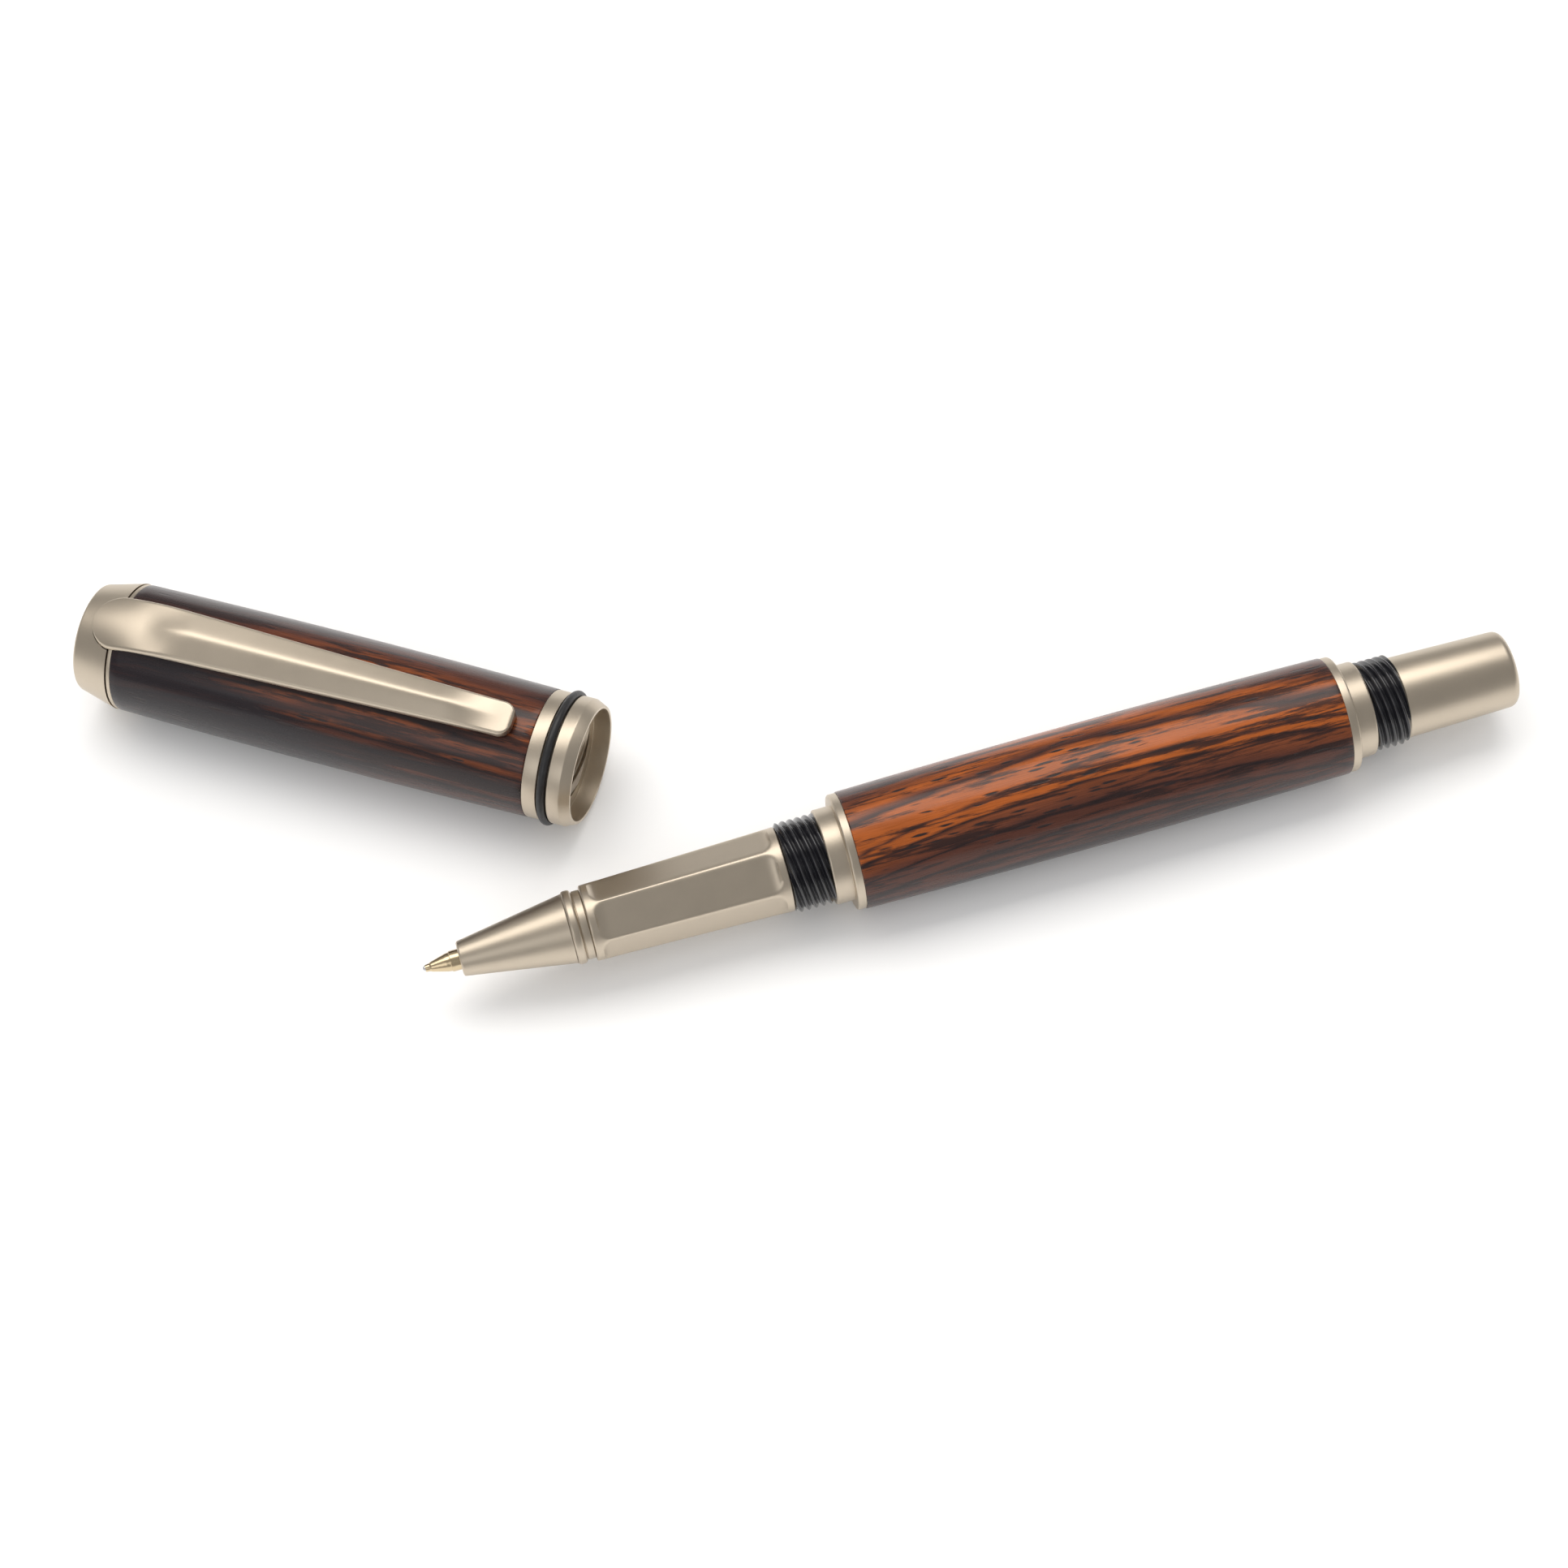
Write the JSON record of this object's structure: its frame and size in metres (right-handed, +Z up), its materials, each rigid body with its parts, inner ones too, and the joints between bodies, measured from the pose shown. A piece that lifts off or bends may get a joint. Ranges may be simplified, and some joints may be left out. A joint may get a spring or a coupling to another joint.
{
  "type": "rollerball pen",
  "caption": "Capped rollerball pen lying uncapped: tapered nose, six-sided satin grip, turned streaked-wood barrel with posting thread, and a wooden cap with a long ridged clip.",
  "frame": {"origin": "middle of the box around pen and cap, on the surface they lie on", "axes": "+X along the pen from its writing tip to its tail, +Z up from the surface"},
  "size_m": [0.173, 0.0718, 0.0193],
  "materials": {
    "satin_nickel": "satin champagne nickel plate",
    "black_plastic": "moulded, glossy",
    "barrel_wood": "polished, dark-streaked",
    "cap_wood": "polished, dark-streaked",
    "brass": "turned",
    "o_ring_rubber": "moulded",
    "refill_point": "drawn metal, pale gold",
    "ball": "ground",
    "refill_plastic": "moulded",
    "cup_plastic": "moulded",
    "fibre": "ink-soaked",
    "spring_steel": "drawn wire"
  },
  "bodies": {
    "barrel": {"front_coupler": "satin_nickel", "front_thread_ring": "black_plastic", "barrel_wood": "barrel_wood", "barrel_tube": "brass", "rear_coupler": "satin_nickel", "rear_thread_ring": "black_plastic", "end_cap_screw": "spring_steel", "end_cap": "satin_nickel", "refill_spring": "spring_steel"},
    "section_screw": {"section_sleeve": "brass"},
    "grip": {"grip_section": "satin_nickel", "nose_cone": "satin_nickel"},
    "refill": {"refill_tip": "refill_point", "refill_feed": "fibre", "refill_collar": "refill_plastic", "refill_tube": "refill_plastic", "refill_ink": "fibre", "refill_end_plug": "refill_plastic"},
    "ball": {"refill_ball": "ball"},
    "cap": {"cap_finial": "satin_nickel", "finial_stud": "brass", "clip_ring": "satin_nickel", "cap_top_bushing": "brass", "cap_wood": "cap_wood", "cap_tube": "brass", "cap_inner_cup": "cup_plastic", "cap_coupler": "satin_nickel", "cap_thread_insert": "satin_nickel", "cap_o_ring": "o_ring_rubber"},
    "clip": {"clip": "satin_nickel"}
  },
  "joints": [
    {"name": "section_advance", "type": "slide", "parent": "barrel", "child": "section_screw", "axis": [-1, 0, 0], "range_m": [0, 0.006]},
    {"name": "section_turn", "type": "hinge", "parent": "section_screw", "child": "grip", "pos_m": [-0.03254, -0.02815, 0.00771], "axis": [-1, 0, 0], "range_deg": [0, 2880]},
    {"name": "refill_float", "type": "slide", "parent": "section_screw", "child": "refill", "axis": [1, 0, 0], "range_m": [0, 0.0008], "stiffness_N_per_m": 300, "springref_m": -0.003, "deforming": ["refill_spring"]},
    {"name": "ball_roll", "type": "hinge", "parent": "refill", "child": "ball", "pos_m": [-0.05294, -0.02815, 0.00771], "axis": [0, 1, 0], "continuous": true},
    {"name": "cap_pull", "type": "slide", "parent": "barrel", "child": "cap", "axis": [-0.8305, 0.557, 0], "range_m": [0, 0.06]},
    {"name": "clip_flex", "type": "hinge", "parent": "cap", "child": "clip", "pos_m": [-0.08156, 0.0283, 0.01442], "axis": [-0.5502, -0.8203, -0.1564], "range_deg": [0, 3.5], "stiffness_Nm_per_rad": 0.4}
  ],
  "couplings": [
    {"joint": "section_turn", "follows": "section_advance", "rad_per_m": 8377.6}
  ]
}
